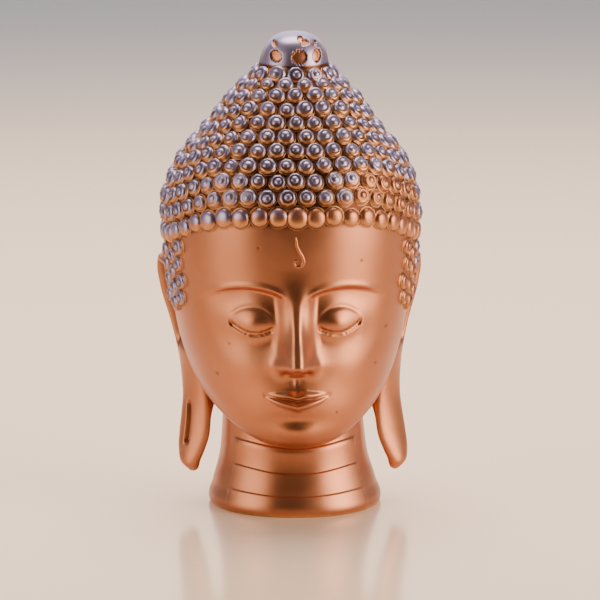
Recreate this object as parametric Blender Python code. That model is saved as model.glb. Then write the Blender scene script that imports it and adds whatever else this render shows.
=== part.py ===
"""Buddha head figurine: one resin casting of a head standing on its own flared neck.

Units are metres and +Z is up. The origin is the centre of the flat underside,
and the face looks towards -Y. The form is drawn in parts, of which the height
of the figure has one hundred and fifty, so it keeps its proportions at any height.
"""

import math

import bmesh
import bpy
import numpy as np
from mathutils import Vector
from mathutils.geometry import delaunay_2d_cdt

FIGURE_HEIGHT = 0.150
PARTS_IN_HEIGHT = 150.0
PART = FIGURE_HEIGHT / PARTS_IN_HEIGHT

# The cast sways a little to its own right between the underside and the crown.
SWAY = 1.3

# Head sections, from the crown down to the hidden pole inside the neck.
# A whole level is one row of curls and level 0 is the row along the hairline.
# Each line: level, front (y, z), side (x, z), back (y, z), middle y.
HEAD_SECTIONS = (
    (13.0, (1.5, 150.0), (0.0, 150.0), (1.5, 150.0), 1.5),
    (12.6, (-2.3, 149.6), (3.9, 149.6), (5.4, 149.6), 1.5),
    (12.2, (-5.2, 148.2), (6.9, 148.2), (8.3, 148.2), 1.5),
    (11.7, (-7.4, 145.6), (9.2, 145.6), (10.6, 145.6), 1.5),
    (11.2, (-8.6, 142.6), (10.4, 142.6), (11.7, 142.6), 1.5),
    (10.7, (-9.2, 140.4), (11.1, 139.6), (12.5, 139.4), 1.5),
    (10.0, (-10.1, 138.2), (12.2, 137.0), (13.9, 136.6), 1.6),
    (8.0, (-14.6, 132.6), (19.6, 128.9), (21.8, 128.4), 1.7),
    (6.0, (-20.6, 125.0), (27.2, 118.8), (30.3, 117.9), 1.8),
    (4.0, (-26.6, 117.4), (35.0, 109.0), (38.6, 107.4), 1.9),
    (2.0, (-32.9, 109.2), (39.0, 98.2), (42.9, 95.6), 2.0),
    (0.0, (-37.2, 98.4), (39.3, 86.3), (44.2, 83.0), 2.2),
    (-2.0, (-38.6, 81.0), (38.2, 74.0), (43.5, 70.4), 2.6),
    (-4.0, (-38.2, 62.5), (36.6, 61.5), (40.2, 58.5), 3.0),
    (-6.0, (-37.2, 44.0), (33.8, 49.0), (34.2, 47.6), 3.0),
    (-7.2, (-36.6, 32.5), (30.8, 41.0), (29.4, 42.0), 2.8),
    (-8.0, (-34.0, 25.6), (27.6, 36.0), (25.2, 38.4), 2.4),
    (-8.7, (-28.0, 22.8), (22.4, 32.4), (19.4, 34.8), 2.2),
    (-9.4, (-15.5, 24.6), (12.0, 30.0), (12.0, 30.8), 2.0),
    (-10.0, (2.0, 27.0), (0.0, 27.0), (2.0, 27.0), 2.0),
)
LOWEST_LEVEL = -9.7

# Curls of the hair: rings all round the head, then rows behind and before the ears.
RING_COUNT = 11
NAPE_ROWS = 7
CURL_PITCH = 5.95
CURL_RISE = 2.3
CURL_TOP_RADIUS = 2.05
CURL_TOP_SIDES = 5
CURL_FOOT_RADIUS = 3.1
NAPE_START_ANGLE = 108.0
NAPE_CORNER_ANGLE = 118.0
TEMPLE_LEVELS = (-0.85, -1.6, -2.35, -3.1)
TEMPLE_ANGLES = (65.0, 74.0)
TEMPLE_CURL_SHARE = 0.78

# Face, on the common thirds of hairline, brow, nose base and chin.
HAIRLINE = 99.0
CHIN = 24.0
FACE_THIRD = (HAIRLINE - CHIN) / 3.0
BROW = HAIRLINE - FACE_THIRD
NOSE_BASE = BROW - FACE_THIRD
MOUTH = NOSE_BASE - FACE_THIRD / 3.0
EYE_LINE = BROW - 0.36 * FACE_THIRD
EYE_WIDTH = 13.6
EYE_INNER = 0.52 * EYE_WIDTH
EYE_MIDDLE = EYE_INNER + 0.5 * EYE_WIDTH
MOUTH_HALF = 0.74 * EYE_WIDTH
# Height over the nose's base and how far the ridge of the nose stands out there.
NOSE_RIDGE = ((-1.2, 0.2), (0.2, 2.6), (2.6, 9.0), (5.0, 9.2), (12.0, 5.6), (19.0, 2.6), (24.0, 1.6), (29.0, 0.0))

# Spacing of the corners of the faces on the skin.
LINE_GAP = 0.85
EYE_GAP = 1.65
MOUTH_GAP = 2.15
CHEEK_GAP = 5.0
REST_GAP = 6.5
RIM_COUNT = 24

# Neck: height and radius down its outline, then the three folds on its front.
NECK_OUTLINE = ((0.0, 26.5), (0.8, 26.9), (6.6, 25.7), (14.4, 23.5), (24.5, 22.3), (37.0, 21.6))
NECK_LEVELS = (0.0, 0.8, 3.5, 11.0, 18.5, 22.9, 30.0, 37.0)
FOLD_CREASES = (7.25, 14.9)
FOLD_STEP = 0.75
FOLD_ANGLE = 55.0
FOLD_DIP = 1.4

# Ears: height, outer x, middle y, half width of the ear's blade, and its turn in degrees.
EAR_STATIONS = (
    (79.0, 40.4, 6.4, 3.0, 11.0),
    (77.2, 41.4, 6.6, 5.4, 11.0),
    (74.0, 41.8, 6.8, 7.2, 11.0),
    (67.0, 40.7, 6.4, 8.0, 12.0),
    (55.0, 37.3, 5.2, 7.2, 15.0),
    (46.0, 35.3, 3.8, 6.6, 20.0),
    (39.0, 34.5, 2.8, 6.3, 28.0),
    (33.0, 34.3, 2.0, 6.2, 36.0),
    (27.0, 34.9, 1.4, 6.3, 42.0),
    (21.0, 35.7, 1.0, 6.2, 44.0),
    (16.0, 36.1, 0.8, 5.2, 44.0),
    (12.0, 35.5, 0.6, 3.3, 44.0),
    (10.0, 34.2, 0.6, 1.6, 44.0),
)
EAR_LEVELS = (79.2, 78.2, 76.0, 72.0, 66.5, 60.0, 53.0, 46.0, 39.5, 33.5, 30.0, 25.0, 20.0, 16.0, 12.5, 10.2, 9.3)
EAR_HALF_THICKNESS = 2.0
EAR_ROOT_DEPTH = 4.6
EAR_ROOT_END = 27.0
EAR_SIDES = 12
CONCHA_DEPTH = 2.2
CONCHA_SPAN = (46.0, 54.0, 73.0, 77.5)
LOBE_SLOT_DEPTH = 1.1
LOBE_SLOT_SPAN = (17.0, 20.0, 30.0, 33.0)


def spline(keys, values, at):
    """Smooth curve through the values at the keys, which rise."""
    slopes = np.gradient(values, keys, axis=0)
    at = np.clip(np.asarray(at, dtype=float), keys[0], keys[-1])
    index = np.clip(np.searchsorted(keys, at) - 1, 0, len(keys) - 2)
    span = keys[index + 1] - keys[index]
    share = (at - keys[index]) / span
    share = share[..., None]
    span = span[..., None]
    square, cube = share ** 2, share ** 3
    return ((2 * cube - 3 * square + 1) * values[index]
            + (cube - 2 * square + share) * span * slopes[index]
            + (3 * square - 2 * cube) * values[index + 1]
            + (cube - square) * span * slopes[index + 1])


SECTION_LEVELS = np.array([row[0] for row in reversed(HEAD_SECTIONS)])
SECTION_VALUES = np.array([row[1] + row[2] + row[3] + (row[4],) for row in reversed(HEAD_SECTIONS)])


def smooth_step(value, start, end):
    """Rises smoothly from 0 at start to 1 at end."""
    share = np.clip((value - start) / (end - start), 0.0, 1.0)
    return share * share * (3.0 - 2.0 * share)


def hump(x, z, middle_x, middle_z, half_x, half_z):
    """Soft round rise of height 1."""
    return np.exp(-((x - middle_x) / half_x) ** 2 - ((z - middle_z) / half_z) ** 2)


def eye_slit(x):
    """Height of the edge of the upper lid at distance x from the middle."""
    share = np.clip((x - EYE_INNER) / EYE_WIDTH, 0.0, 1.0)
    return EYE_LINE - 1.2 + 1.4 * share - 2.5 * np.sin(math.pi * share) ** 0.9


def brow_line(x):
    """Height of the brow's edge at distance x from the middle."""
    return BROW + 2.2 - 0.021 * (x - 14.5) ** 2


def mouth_line(x):
    """Height of the line between the lips at distance x from the middle."""
    share = x / MOUTH_HALF
    return MOUTH + 1.1 * share ** 2 - 0.5 * np.exp(-(x / 1.6) ** 2)


def nose_relief(x, z):
    """Bridge, tip and wings of the nose, standing forward of the face."""
    rise_at = NOSE_BASE + np.array([row[0] for row in NOSE_RIDGE])
    height = spline(rise_at, np.array([row[1:] for row in NOSE_RIDGE]), z)[..., 0]
    height = np.where((z < rise_at[0]) | (z > rise_at[-1]), 0.0, np.maximum(height, 0.0))
    half = 2.5 + 1.7 * smooth_step(z, NOSE_BASE + 17.0, NOSE_BASE + 2.0)
    half = half + 1.4 * smooth_step(z, BROW - 5.0, BROW + 2.0)
    bridge = height / (1.0 + (x / half) ** 4)
    wing = 4.4 * hump(x, z, 4.9, NOSE_BASE + 2.5, 2.2, 2.5)
    return np.maximum(bridge, wing) + 0.25 * np.minimum(bridge, wing)


def eye_relief(x, z):
    """Socket under the brow, the ball, and the lids almost closed over it."""
    socket = smooth_step(z, brow_line(x) + 0.5, brow_line(x) - 1.9)
    socket = socket * smooth_step(z, EYE_LINE - 12.0, EYE_LINE - 5.0)
    socket = socket * smooth_step(x, 3.0, 7.0) * smooth_step(x, 28.0, 20.0)
    away = ((x - EYE_MIDDLE) / 9.4) ** 2 + ((z - EYE_LINE + 1.0) / 6.4) ** 2
    ball = np.clip(1.0 - away, 0.0, 1.0) ** 0.7
    inside = smooth_step(x, EYE_INNER - 0.8, EYE_INNER + 1.2)
    inside = inside * smooth_step(x, EYE_INNER + EYE_WIDTH + 0.8, EYE_INNER + EYE_WIDTH - 1.2)
    below = smooth_step(z, eye_slit(x) + 0.35, eye_slit(x) - 0.35)
    lower_lid = smooth_step(z, eye_slit(x) - 1.3, eye_slit(x) - 2.2)
    return -2.8 * socket + 3.0 * ball - inside * (1.25 * below - 0.85 * lower_lid)


def mouth_relief(x, z):
    """The lips on their mound, the groove above them and the hollow under them."""
    mound = 1.9 * hump(x, z, 0.0, MOUTH + 0.3, 13.0, 8.0)
    reach = np.clip(1.0 - (x / MOUTH_HALF) ** 2, 0.0, 1.0)
    line = mouth_line(x)
    upper_height = 3.4 * reach ** 0.8 + 0.5 * np.exp(-((x - 2.5) / 1.5) ** 2) + 0.01
    upper_share = np.clip((z - line) / upper_height, 0.0, 1.0)
    upper = np.where(z >= line, np.sin(math.pi * np.minimum(upper_share + 0.12, 1.0)), 0.0)
    lower_height = 4.1 * reach ** 0.7 + 0.01
    lower_share = np.clip((line - z) / lower_height, 0.0, 1.0)
    lower = np.where(z < line, np.sin(math.pi * np.minimum(lower_share ** 0.9 + 0.1, 1.0)), 0.0)
    lips = (1.5 * upper + 1.9 * lower) * np.sqrt(reach)
    groove = -1.0 * np.exp(-((z - line) / 0.7) ** 2) * smooth_step(x, MOUTH_HALF + 1.6, MOUTH_HALF - 1.0)
    philtrum = -0.6 * hump(x, z, 0.0, NOSE_BASE - 2.6, 1.2, 2.2)
    hollow = -1.3 * hump(x, z, 0.0, MOUTH - 6.4, 8.0, 1.9)
    return mound + lips + groove + philtrum + hollow


def face_relief(x, z):
    """How far the carved face stands forward of the plain head at (x, z)."""
    x = np.abs(x)
    chin_ball = 1.9 * hump(x, z, 0.0, CHIN + 5.0, 7.5, 4.6)
    cheek = 1.5 * hump(x, z, 19.0, NOSE_BASE + 5.0, 10.0, 10.0)
    return nose_relief(x, z) + eye_relief(x, z) + mouth_relief(x, z) + chin_ball + cheek


def sway(z):
    """Sideways shift of the cast at a height."""
    return -SWAY * np.sin(math.pi * np.clip(z, 0.0, PARTS_IN_HEIGHT) / PARTS_IN_HEIGHT)


def head_surface(level, angle):
    """Points of the head in parts; the angle is 0 in front and grows towards +X."""
    level, angle = np.broadcast_arrays(np.asarray(level, float), np.asarray(angle, float))
    values = spline(SECTION_LEVELS, SECTION_VALUES, level)
    front_y, front_z, side_x, side_z, back_y, back_z, middle = np.moveaxis(values, -1, 0)
    across, along = np.sin(angle), np.cos(angle)
    fall = 2.4 + 1.6 * smooth_step(level, -4.0, -1.0)
    front_share = np.abs(across) ** fall
    x = side_x * across
    z = np.where(along > 0, front_z + (side_z - front_z) * front_share,
                 back_z + (side_z - back_z) * across ** 2)
    y = np.where(along > 0, middle - (middle - front_y) * along,
                 middle - (back_y - middle) * along)
    ahead = smooth_step(along, 0.25, 0.6) * smooth_step(level, -8.6, -8.0)
    y = y - face_relief(x, z) * ahead
    return np.stack((x + sway(z), y, z), axis=-1)


def head_normal(level, angle):
    """Outward direction of the head's surface."""
    step = 0.02
    down = head_surface(level - step, angle) - head_surface(level + step, angle)
    round_ = head_surface(level, angle + step) - head_surface(level, angle - step)
    normal = np.cross(round_, -down)
    return normal / np.linalg.norm(normal, axis=-1, keepdims=True)


def ring_angles(level, count, phase):
    """Angles that share a ring of the head into equal lengths, from the front."""
    angles = np.linspace(0.0, 2.0 * math.pi, 721)
    ring = head_surface(np.full_like(angles, level), angles)
    run = np.concatenate(([0.0], np.cumsum(np.linalg.norm(np.diff(ring, axis=0), axis=1))))
    wanted = (np.arange(count) + phase) * run[-1] / count
    return np.interp(wanted, run, angles)


def ring_length(level):
    """Length round the head at a level."""
    angles = np.linspace(0.0, 2.0 * math.pi, 361)
    ring = head_surface(np.full_like(angles, level), angles)
    return float(np.linalg.norm(np.diff(ring, axis=0), axis=1).sum())


def curl_places():
    """Level, angle and share of full size of every curl of the hair."""
    places = []
    for row in range(RING_COUNT):
        count = round(ring_length(row) / CURL_PITCH)
        places += [(row, angle, 1.0) for angle in ring_angles(row, count, 0.5 * (row % 2))]
    for row in range(1, NAPE_ROWS + 1):
        count = round(ring_length(-row) / CURL_PITCH)
        start = NAPE_START_ANGLE + (NAPE_CORNER_ANGLE - NAPE_START_ANGLE) * (row / NAPE_ROWS) ** 3
        angles = ring_angles(-row, count, 0.5 * (row % 2))
        places += [(-row, angle, 1.0) for angle in angles
                   if abs(angle - math.pi) < math.pi - math.radians(start)]
    for number, level in enumerate(TEMPLE_LEVELS):
        for column, degrees in enumerate(TEMPLE_ANGLES):
            turn = math.radians(degrees + 2.0 * (number % 2))
            lower = level - 0.35 * column
            places += [(lower, turn, TEMPLE_CURL_SHARE), (lower, 2.0 * math.pi - turn, TEMPLE_CURL_SHARE)]
    return np.array(places, dtype=float)


def unroll_table():
    """Flat distance from the crown at each level, which keeps small shapes in shape."""
    levels = np.linspace(12.95, LOWEST_LEVEL, 600)
    values = spline(SECTION_LEVELS, SECTION_VALUES, levels)
    radius = (values[:, 2] + (values[:, 4] - values[:, 0]) / 2.0) / 2.0
    steps = np.zeros(len(levels) - 1)
    for low in (0, 2, 4):
        steps += np.linalg.norm(np.diff(values[:, low:low + 2], axis=0), axis=1) / 3.0
    run = np.concatenate(([0.0], np.cumsum(steps / (0.5 * (radius[1:] + radius[:-1])))))
    return levels[::-1], run[::-1]


UNROLL_LEVELS, UNROLL_RUN = unroll_table()


def flat_places(level, angle):
    """Places on the flat map of the head, with the crown in its middle."""
    distance = np.exp(np.interp(level, UNROLL_LEVELS, UNROLL_RUN))
    return np.stack((distance * np.cos(angle), distance * np.sin(angle)), axis=-1)


def turned(first, second, third):
    """Positive where flat points turn left on their way, negative where they turn right."""
    one, two = second - first, third - first
    return one[..., 0] * two[..., 1] - one[..., 1] * two[..., 0]


class Skin:
    """Points of the head's surface, with their places on the flat map of it."""

    def __init__(self):
        self.flat = np.zeros((0, 2))
        self.solid = np.zeros((0, 3))
        self.edges = []

    def add(self, level, angle, lift=0.0):
        """Keep points of the surface, lifted along the given vectors; gives their numbers."""
        level, angle = np.atleast_1d(level), np.atleast_1d(angle)
        self.flat = np.concatenate((self.flat, flat_places(level, angle)))
        self.solid = np.concatenate((self.solid, head_surface(level, angle) + lift))
        return np.arange(len(self.flat) - len(level), len(self.flat))

    def add_ring(self, numbers):
        """Keep the edges between points that follow each other round a ring."""
        self.edges += list(zip(numbers, np.roll(numbers, -1)))

    def clear_edges(self):
        """The kept edges, without those that cross an earlier one on the flat map."""
        clear = np.zeros((0, 2), dtype=int)
        for start, end in self.edges:
            first, second = self.flat[clear[:, 0]], self.flat[clear[:, 1]]
            one, two = self.flat[start], self.flat[end]
            apart = turned(first, second, one) * turned(first, second, two)
            across = turned(one, two, first) * turned(one, two, second)
            if not np.any((apart < 0.0) & (across < 0.0)):
                clear = np.concatenate((clear, [(start, end)]))
        return [(int(start), int(end)) for start, end in clear]


def nearest(points, point):
    """Distance from a point to the nearest of the points."""
    away = points - point
    return math.sqrt(float(np.einsum("ij,ij->i", away, away).min()))


def surface_offset(level, angle, reach, turn):
    """Level and angle at a distance from a point of the surface, in a direction."""
    step = 0.05
    up = head_surface(level + step, angle) - head_surface(level - step, angle)
    side = head_surface(level, angle + step) - head_surface(level, angle - step)
    up = np.linalg.norm(up, axis=-1) / (2.0 * step)
    side = np.linalg.norm(side, axis=-1) / (2.0 * step)
    return level + reach * math.sin(turn) / up, angle + reach * math.cos(turn) / side


def add_curls(skin, places):
    """Flat-topped curls, each in a ring of low points that it shares with its neighbours."""
    level, angle, share = places.T
    lift = head_normal(level, angle) * (CURL_RISE * share)[:, None]
    tops = []
    for corner in range(CURL_TOP_SIDES):
        turn = math.pi / 2.0 + 2.0 * math.pi * corner / CURL_TOP_SIDES
        tops.append(skin.add(*surface_offset(level, angle, CURL_TOP_RADIUS * share, turn), lift=lift))
    centres, flat = head_surface(level, angle), flat_places(level, angle)
    triangles = np.array(delaunay_2d_cdt([Vector(pair) for pair in flat], [], [], 0, 1e-7)[2])
    corners = centres[triangles]
    longest = np.linalg.norm(corners - np.roll(corners, 1, axis=1), axis=-1).max(axis=1)
    triangles = triangles[longest < 1.6 * CURL_PITCH]
    angles = angle[triangles]
    first = angles[:, :1]
    between = first[:, 0] + ((angles - first + math.pi) % (2.0 * math.pi) - math.pi).mean(axis=1)
    lows = skin.add(level[triangles].mean(axis=1), between)
    meets = lows
    for corner in range(6):
        turn = math.pi / 6.0 + corner * math.pi / 3.0
        foot_levels, foot_angles = surface_offset(level, angle, CURL_FOOT_RADIUS * share, turn)
        for number, foot in enumerate(head_surface(foot_levels, foot_angles)):
            reach = CURL_FOOT_RADIUS * share[number]
            others = np.delete(centres, number, axis=0)
            if nearest(others, foot) > 1.12 * reach and nearest(skin.solid[lows], foot) > 0.9 * reach:
                lows = np.concatenate((lows, skin.add(foot_levels[number], foot_angles[number])))
    for number, centre in enumerate(centres):
        feet = lows[len(meets):]
        away = np.linalg.norm(skin.solid[feet] - centre, axis=1)
        ring = np.concatenate((meets[(triangles == number).any(axis=1)],
                               feet[away < 1.45 * CURL_FOOT_RADIUS * share[number]]))
        spokes = skin.flat[ring] - flat[number]
        skin.add_ring(ring[np.argsort(np.arctan2(spokes[:, 1], spokes[:, 0]))])
    for ring in np.array(tops).T:
        skin.add_ring(ring)
    return centres


def level_of(x, z):
    """Level and angle of the front surface points at (x, z), by closing in on them."""
    level, angle = np.zeros(len(x)), np.zeros(len(x))
    for _ in range(40):
        point = head_surface(level, angle)
        level = np.clip(level + (z - point[:, 2]) / 10.0, -9.0, 3.0)
        side = spline(SECTION_LEVELS, SECTION_VALUES, level)[:, 2]
        angle = np.arcsin(np.clip((x - sway(z)) / side, -0.99, 0.99))
    return level, angle


def face_lines():
    """Lines of the lids, brows, lips and nose on the +X side, as (x, z) points."""
    lines = []
    across = np.linspace(EYE_INNER, EYE_INNER + EYE_WIDTH, 9)
    lines += [(across, eye_slit(across) + drop) for drop in (0.5, -0.5, -2.4)]
    across = np.linspace(4.5, 25.0, 10)
    lines += [(across, brow_line(across) + drop) for drop in (0.5, -1.9)]
    wing = np.array([(2.0, 4.6), (4.9, 2.5), (7.2, 2.6), (4.9, 5.2), (4.8, -0.6)])
    lines.append((wing[:, 0], NOSE_BASE + wing[:, 1]))
    ridge = NOSE_BASE + np.array((-1.2, 0.2, 1.5, 2.6, 3.8, 5.2, 8.0, 12.0, 16.0, 20.0, 24.0))
    lines.append((np.zeros(len(ridge)), ridge))
    across = np.linspace(0.0, MOUTH_HALF, 7)
    reach = np.sqrt(np.clip(1.0 - (across / MOUTH_HALF) ** 2, 0.02, 1.0))
    lines += [(across, mouth_line(across) + share * reach) for share in (0.0, 1.0, 2.4, 3.9, -1.3, -2.9, -4.4)]
    return lines


def add_face_lines(skin):
    """Put corners of the faces on the carved lines, the same on both sides of the face."""
    for across, height in face_lines():
        level, angle = level_of(across + sway(height), height)
        last = None
        for number, point in enumerate(head_surface(level, angle)):
            if nearest(skin.solid, point) < LINE_GAP:
                continue
            turns = (angle[number], -angle[number]) if across[number] > 0.5 * LINE_GAP else (0.0,)
            added = [skin.add(level[number], turn)[0] for turn in turns]
            if last:
                skin.edges += [(last[0], added[0]), (last[-1], added[-1])]
            last = added


def face_gap(point):
    """How close the points of the skin stand at a place."""
    x, z = abs(point[0]), point[2]
    if point[1] > -6.0 or z > HAIRLINE + 2.0:
        return REST_GAP
    if EYE_LINE - 8.0 < z < BROW + 3.0 and x < EYE_INNER + EYE_WIDTH + 3.0:
        return EYE_GAP
    if MOUTH - 9.0 < z < BROW + 3.0 and x < 1.4 * MOUTH_HALF:
        return MOUTH_GAP
    return CHEEK_GAP


def add_plain_skin(skin, centres):
    """Points over the rest of the head, as close together as the form there needs."""
    levels, angles = np.meshgrid(np.linspace(1.0, LOWEST_LEVEL, 110),
                                 np.radians(np.linspace(0.0, 180.0, 150)), indexing="ij")
    for level, angle in zip(levels.ravel(), angles.ravel()):
        point = head_surface(level, angle)
        gap = face_gap(point)
        to_mirror = 2.0 * abs(point[0] - sway(point[2]))
        on_middle = to_mirror < 1e-6
        if to_mirror < gap and not on_middle:
            continue
        if nearest(centres, point) > 1.25 * CURL_FOOT_RADIUS and nearest(skin.solid, point) > gap:
            skin.add(level, angle)
            if not on_middle:
                skin.add(level, -angle)


def add_crown(skin):
    """The smooth dome on the crown, in rings that open out from its top."""
    skin.flat = np.concatenate((skin.flat, [(0.0, 0.0)]))
    skin.solid = np.concatenate((skin.solid, [head_surface(13.0, 0.0)]))
    for number, (level, count) in enumerate(((12.55, 7), (12.1, 12), (11.6, 14), (11.1, 14))):
        angles = 2.0 * math.pi * (np.arange(count) + 0.5 * (number % 2)) / count
        skin.add(np.full(count, level), angles)


def mesh_object(name, points, faces):
    """A new object from points in parts and their faces."""
    mesh = bpy.data.meshes.new(name)
    mesh.from_pydata([tuple(float(value) * PART for value in point) for point in points], [], faces)
    mesh.validate()
    shaped = bmesh.new()
    shaped.from_mesh(mesh)
    bmesh.ops.recalc_face_normals(shaped, faces=shaped.faces)
    shaped.to_mesh(mesh)
    shaped.free()
    thing = bpy.data.objects.new(name, mesh)
    bpy.context.collection.objects.link(thing)
    return thing


def make_head():
    """The head with its face, its hair of curls and the dome on its crown."""
    skin = Skin()
    add_crown(skin)
    centres = add_curls(skin, curl_places())
    add_face_lines(skin)
    rim = list(range(len(skin.solid), len(skin.solid) + RIM_COUNT))
    skin.add(np.full(RIM_COUNT, LOWEST_LEVEL), 2.0 * math.pi * np.arange(RIM_COUNT) / RIM_COUNT)
    add_plain_skin(skin, centres)
    flat = [Vector(pair) for pair in skin.flat]
    faces = [tuple(face) for face in delaunay_2d_cdt(flat, skin.clear_edges(), [], 0, 1e-9)[2]]
    pole = len(skin.solid)
    points = np.concatenate((skin.solid, [head_surface(-10.0, 0.0)]))
    faces += [(rim[number - 1], rim[number], pole) for number in range(RIM_COUNT)]
    return mesh_object("buddha_head", points, faces)


def neck_point(z, degrees):
    """Point of the neck: folds dip in the middle of its front, each prouder than the one above."""
    heights = np.array([row[0] for row in NECK_OUTLINE])
    radii = np.array([[row[1]] for row in NECK_OUTLINE])
    edges = (0.0,) + FOLD_CREASES + (FOLD_CREASES[1] + 8.0,)
    front = float(smooth_step(abs(degrees), FOLD_ANGLE + 3.0, FOLD_ANGLE - 3.0))
    proud = 0.0
    for low, high in zip(edges, edges[1:]):
        if low <= z < high:
            proud = front * FOLD_STEP * (0.25 + 0.75 * (z - low) / (high - low))
    middle = float(smooth_step(abs(degrees), FOLD_ANGLE, 0.0))
    dip = FOLD_DIP * middle * float(smooth_step(z, 0.0, FOLD_CREASES[1]) * smooth_step(z, edges[3] + 8.0, edges[3]))
    radius = float(spline(heights, radii, np.array(z - dip))[0]) + proud
    angle = math.radians(degrees)
    return radius * math.sin(angle) + sway(z - dip), -radius * math.cos(angle), z - dip


def make_neck():
    """The flared neck on which the head stands, flat underneath."""
    edge = [FOLD_ANGLE - 3.0, FOLD_ANGLE + 3.0]
    front = list(np.linspace(8.0 - FOLD_ANGLE, FOLD_ANGLE - 8.0, 13))
    back = list(np.linspace(FOLD_ANGLE + 20.0, 340.0 - FOLD_ANGLE, 13))
    turns = [-edge[1], -edge[0]] + front + edge + [value - 360.0 * (value > 180.0) for value in back]
    heights = sorted(NECK_LEVELS + FOLD_CREASES + tuple(crease - 0.5 for crease in FOLD_CREASES))
    points = [neck_point(z - 0.001 * (z in FOLD_CREASES), turn) for z in heights for turn in turns]
    count = len(turns)
    faces = [tuple(reversed(range(count)))]
    for row in range(len(heights) - 1):
        for step in range(count):
            after = (step + 1) % count
            low, high = row * count, (row + 1) * count
            faces.append((low + step, low + after, high + after, high + step))
    top = (len(heights) - 1) * count
    faces.append(tuple(top + step for step in range(count)))
    return mesh_object("neck_form", points, faces)


EAR_HEIGHTS = np.array([row[0] for row in reversed(EAR_STATIONS)])
EAR_VALUES = np.array([row[1:] for row in reversed(EAR_STATIONS)])


def hollow(z, span):
    """Rises from 0 to 1 over the first two heights and falls back over the last two."""
    return float(smooth_step(z, span[0], span[1]) * smooth_step(z, span[3], span[2]))


def ear_point(z, turn, slot_depth):
    """Point of the ear on the +X side; the turn is 0 at its back edge and 90 outside."""
    outer, middle, half, degrees = spline(EAR_HEIGHTS, EAR_VALUES, np.array(z))
    blade = math.radians(float(degrees))
    end = float(smooth_step(z, EAR_HEIGHTS[-1] + 0.3, EAR_HEIGHTS[-1] - 4.0))
    end *= float(smooth_step(z, EAR_HEIGHTS[0] - 1.5, EAR_HEIGHTS[0] + 5.0))
    thick = EAR_HALF_THICKNESS * (0.45 + 0.55 * end)
    across, out = math.cos(turn), math.sin(turn)
    depth = thick * out
    if out < 0.0:
        depth += EAR_ROOT_DEPTH * float(smooth_step(z, EAR_ROOT_END - 3.0, EAR_ROOT_END + 8.0)) * out * end
    else:
        cup = hollow(z, CONCHA_SPAN) * CONCHA_DEPTH
        slot = hollow(z, LOBE_SLOT_SPAN) * slot_depth
        depth -= (cup + slot) * float(smooth_step(abs(across), 0.72, 0.3))
    centre_x = outer - math.hypot(half * math.sin(blade), thick * math.cos(blade))
    x = centre_x + half * across * math.sin(blade) + depth * math.cos(blade)
    y = middle + half * across * math.cos(blade) - depth * math.sin(blade)
    return x, y


def make_ear(side):
    """One long-lobed ear; the side is 1 towards +X and -1 towards -X, whose lobe has a slot."""
    slot_depth = LOBE_SLOT_DEPTH if side < 0 else 0.0
    points = []
    for z in EAR_LEVELS:
        for step in range(EAR_SIDES):
            x, y = ear_point(z, 2.0 * math.pi * step / EAR_SIDES, slot_depth)
            points.append((side * x + sway(z), y, z))
    faces = [tuple(range(EAR_SIDES))]
    for row in range(len(EAR_LEVELS) - 1):
        for step in range(EAR_SIDES):
            after = (step + 1) % EAR_SIDES
            high, low = row * EAR_SIDES, (row + 1) * EAR_SIDES
            faces.append((high + step, high + after, low + after, low + step))
    last = (len(EAR_LEVELS) - 1) * EAR_SIDES
    faces.append(tuple(last + step for step in range(EAR_SIDES)))
    name = "ear_form_left" if side > 0 else "ear_form_right"
    return mesh_object(name, points, faces)


def copper_paint():
    """Satin copper paint over the resin."""
    material = bpy.data.materials.new("satin_copper_paint")
    material.use_nodes = True
    shader = material.node_tree.nodes["Principled BSDF"]
    shader.inputs["Base Color"].default_value = (0.50, 0.22, 0.12, 1.0)
    shader.inputs["Metallic"].default_value = 0.75
    shader.inputs["Roughness"].default_value = 0.36
    return material


def join_form(thing, form):
    """Fuse a guide form into the casting."""
    form.hide_render = True
    form.display_type = "WIRE"
    union = thing.modifiers.new(form.name, "BOOLEAN")
    union.operation = "UNION"
    union.object = form


for old in list(bpy.data.objects):
    bpy.data.objects.remove(old, do_unlink=True)

casting = make_head()
casting.data.materials.append(copper_paint())
join_form(casting, make_neck())
for ear_side in (1, -1):
    join_form(casting, make_ear(ear_side))
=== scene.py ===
import math

import bpy
import numpy as np
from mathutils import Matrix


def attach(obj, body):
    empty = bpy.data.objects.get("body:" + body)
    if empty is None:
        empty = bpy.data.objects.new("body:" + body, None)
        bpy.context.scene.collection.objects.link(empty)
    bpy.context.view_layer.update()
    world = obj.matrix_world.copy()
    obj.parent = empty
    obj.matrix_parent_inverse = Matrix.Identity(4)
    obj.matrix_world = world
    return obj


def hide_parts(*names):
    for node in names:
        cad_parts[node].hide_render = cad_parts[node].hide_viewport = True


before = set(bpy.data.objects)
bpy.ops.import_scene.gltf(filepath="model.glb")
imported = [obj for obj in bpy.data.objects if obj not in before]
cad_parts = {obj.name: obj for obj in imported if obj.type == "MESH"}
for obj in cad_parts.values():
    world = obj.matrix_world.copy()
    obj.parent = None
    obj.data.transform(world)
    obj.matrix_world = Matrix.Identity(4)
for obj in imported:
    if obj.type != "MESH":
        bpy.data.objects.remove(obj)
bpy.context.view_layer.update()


# The head of the casting: face, skull under the hair and the smooth dome on the crown.
# It is cast resin, modelled in clay for the mould, so it has no sharp edge anywhere.
# A ball is drawn out to the head's own sections, then the face is carved into it.
MM = 0.001
FIGURE_HEIGHT = 150.0
SWAY = 1.3
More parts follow.
